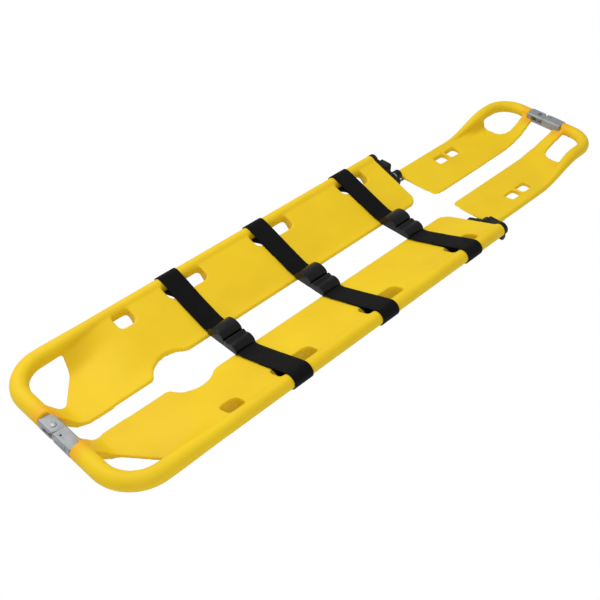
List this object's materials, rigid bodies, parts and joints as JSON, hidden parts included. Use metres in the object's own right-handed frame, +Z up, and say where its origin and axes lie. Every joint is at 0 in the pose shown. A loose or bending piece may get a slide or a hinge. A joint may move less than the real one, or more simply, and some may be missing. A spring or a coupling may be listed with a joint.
{
  "type": "scoop stretcher",
  "caption": "Yellow two-part scoop stretcher with telescopic folding foot section, two release couplings and three restraint straps.",
  "frame": {"origin": "centre of the stretcher's length and width, on the floor it lies on", "axes": "+X to the right-hand half, +Y from the head end to the foot end, +Z up"},
  "size_m": [0.435, 1.586, 0.0661],
  "materials": {
    "yellow": "satin",
    "black": "matte",
    "aluminium": "satin",
    "coupling": "matte",
    "lever": "matte",
    "steel": "satin",
    "webbing": "matte",
    "buckle": "satin"
  },
  "bodies": {
    "left_main": {"main_panel_left": "yellow", "end_cap_left": "black", "cap_screws_left": "steel", "head_coupling_block_left": "coupling", "head_rivets_left": "steel", "head_coupling_pivot": "steel", "webbing_left_1": "webbing", "webbing_left_2": "webbing", "webbing_left_3": "webbing", "buckle_socket_1": "buckle", "buckle_socket_2": "buckle", "buckle_socket_3": "buckle"},
    "head_tongue": {"head_coupling_tongue": "coupling"},
    "right_main": {"main_panel_right": "yellow", "end_cap_right": "black", "cap_screws_right": "steel", "head_coupling_block_right": "coupling", "head_rivets_right": "steel", "webbing_right_1": "webbing", "webbing_right_2": "webbing", "webbing_right_3": "webbing", "buckle_plug_1": "buckle", "buckle_plug_2": "buckle", "buckle_plug_3": "buckle"},
    "head_latch_lever": {"head_coupling_lever": "lever"},
    "head_latch_pin": {"head_coupling_latch": "steel"},
    "left_slider": {"slide_tube_left": "aluminium", "tube_plug_left": "black", "knuckle_left": "black", "hinge_pin_left": "steel"},
    "left_foot": {"foot_panel_left": "yellow", "hinge_leaf_left": "steel", "leaf_screws_left": "steel", "foot_coupling_block_left": "coupling", "foot_rivets_left": "steel", "foot_coupling_pivot": "steel", "foot_coupling_tongue": "coupling"},
    "right_slider": {"slide_tube_right": "aluminium", "tube_plug_right": "black", "knuckle_right": "black", "hinge_pin_right": "steel"},
    "right_foot": {"foot_panel_right": "yellow", "hinge_leaf_right": "steel", "leaf_screws_right": "steel", "foot_coupling_block_right": "coupling", "foot_rivets_right": "steel"},
    "foot_latch_lever": {"foot_coupling_lever": "lever"},
    "foot_latch_pin": {"foot_coupling_latch": "steel"},
    "left_lock_pin": {"lock_pin_left": "steel", "lock_knob_left": "black"},
    "right_lock_pin": {"lock_pin_right": "steel", "lock_knob_right": "black"}
  },
  "joints": [
    {"name": "head_opening", "type": "hinge", "parent": "left_main", "child": "head_tongue", "pos_m": [-0.02, -0.775, 0.047], "axis": [0, 0, -1], "range_deg": [0, 20]},
    {"name": "halves_apart", "type": "slide", "parent": "head_tongue", "child": "right_main", "axis": [1, 0, 0], "range_m": [0, 0.3]},
    {"name": "head_lever_press", "type": "slide", "parent": "right_main", "child": "head_latch_lever", "axis": [0, 1, 0], "range_m": [-0.0014, 0]},
    {"name": "head_latch_drop", "type": "slide", "parent": "right_main", "child": "head_latch_pin", "axis": [0, 0, 1], "range_m": [-0.004, 0]},
    {"name": "left_foot_length", "type": "slide", "parent": "left_main", "child": "left_slider", "axis": [0, 1, 0], "range_m": [0, 0.35]},
    {"name": "left_foot_fold", "type": "hinge", "parent": "left_slider", "child": "left_foot", "pos_m": [-0.141, 0.328, 0.006], "axis": [-1, 0, 0], "range_deg": [0, 160]},
    {"name": "right_foot_length", "type": "slide", "parent": "right_main", "child": "right_slider", "axis": [0, 1, 0], "range_m": [0, 0.35]},
    {"name": "right_foot_fold", "type": "hinge", "parent": "right_slider", "child": "right_foot", "pos_m": [0.141, 0.328, 0.006], "axis": [-1, 0, 0], "range_deg": [0, 160]},
    {"name": "foot_lever_press", "type": "slide", "parent": "right_foot", "child": "foot_latch_lever", "axis": [0, -1, 0], "range_m": [-0.0014, 0]},
    {"name": "foot_latch_drop", "type": "slide", "parent": "right_foot", "child": "foot_latch_pin", "axis": [0, 0, 1], "range_m": [-0.004, 0]},
    {"name": "left_length_lock", "type": "slide", "parent": "left_main", "child": "left_lock_pin", "axis": [-1, 0, 0], "range_m": [-0.005, 0]},
    {"name": "right_length_lock", "type": "slide", "parent": "right_main", "child": "right_lock_pin", "axis": [1, 0, 0], "range_m": [-0.005, 0]}
  ],
  "couplings": [
    {"joint": "right_foot_length", "follows": "left_foot_length", "ratio": 1},
    {"joint": "right_foot_fold", "follows": "left_foot_fold", "ratio": 1},
    {"joint": "head_latch_drop", "follows": "head_lever_press", "ratio": 2.857},
    {"joint": "foot_latch_drop", "follows": "foot_lever_press", "ratio": 2.857}
  ]
}
